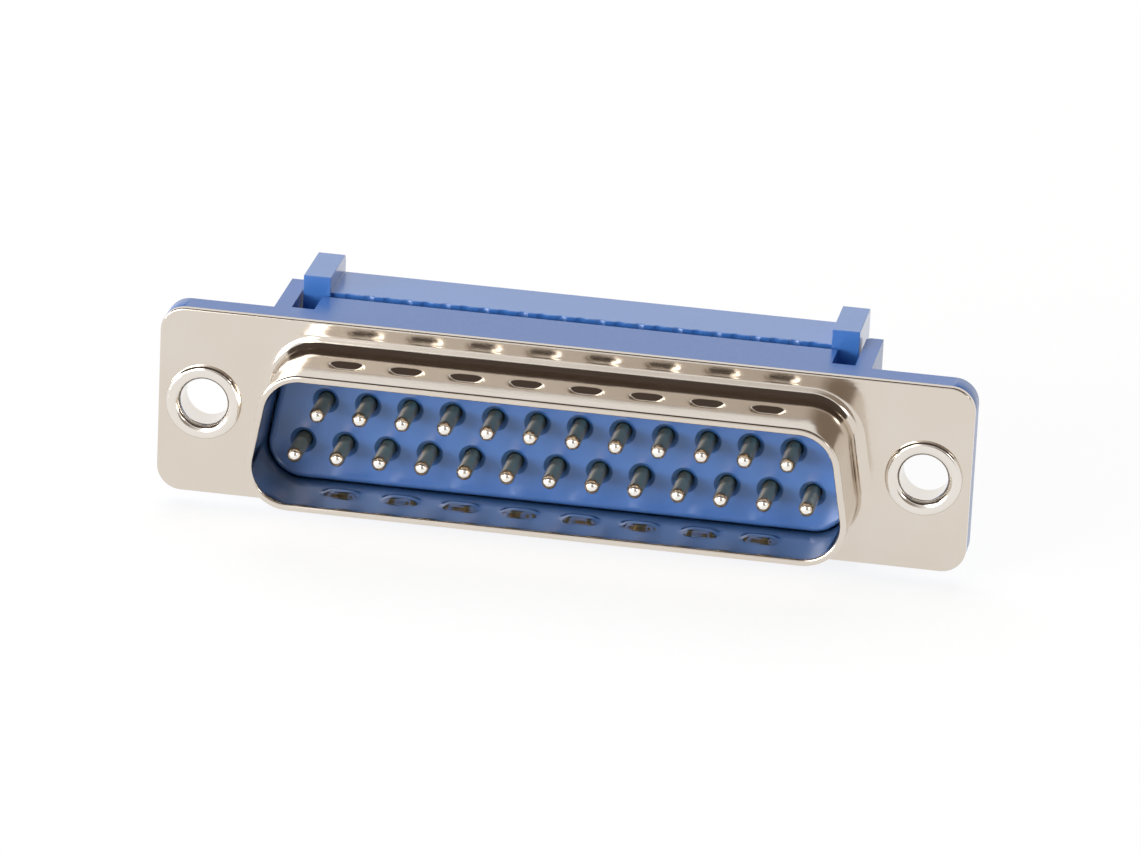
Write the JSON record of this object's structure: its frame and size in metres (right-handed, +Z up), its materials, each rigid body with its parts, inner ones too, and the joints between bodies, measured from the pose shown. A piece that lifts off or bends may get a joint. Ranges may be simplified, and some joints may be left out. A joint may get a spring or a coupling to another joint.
{
  "type": "d-sub connector",
  "caption": "D-sub plug for flat ribbon cable: metal shell with a D-shaped shroud, blue insulator, round pins, fixing eyelets and a press-on rear cover.",
  "frame": {"origin": "on the front of the metal flange, midway between the centres of the two fixing holes", "axes": "X runs along the connector through both fixing holes, -Y is the way the mating face looks, +Z is up with the wide row of pins below"},
  "size_m": [0.053, 0.0158, 0.015],
  "materials": {
    "shell_metal": "bright nickel plate on drawn steel sheet",
    "eyelet_metal": "bright nickel plate",
    "insulator_plastic": "glass-filled moulded polyester, slight gloss",
    "cover_plastic": "glass-filled moulded polyester, slight gloss",
    "contact_metal": "thin gold over nickel, bright"
  },
  "bodies": {
    "plug": {"front_shell": "shell_metal", "insulator_body": "insulator_plastic", "flange_eyelets": "eyelet_metal", "contact_01": "contact_metal", "contact_02": "contact_metal", "contact_03": "contact_metal", "contact_04": "contact_metal", "contact_05": "contact_metal", "contact_06": "contact_metal", "contact_07": "contact_metal", "contact_08": "contact_metal", "contact_09": "contact_metal", "contact_10": "contact_metal", "contact_11": "contact_metal", "contact_12": "contact_metal", "contact_13": "contact_metal", "contact_14": "contact_metal", "contact_15": "contact_metal", "contact_16": "contact_metal", "contact_17": "contact_metal", "contact_18": "contact_metal", "contact_19": "contact_metal", "contact_20": "contact_metal", "contact_21": "contact_metal", "contact_22": "contact_metal", "contact_23": "contact_metal", "contact_24": "contact_metal", "contact_25": "contact_metal"},
    "cover": {"rear_cover": "cover_plastic"}
  },
  "joints": [
    {"name": "cover_slide", "type": "slide", "parent": "plug", "child": "cover", "axis": [0, 1, 0], "range_m": [0, 0.0034]}
  ]
}
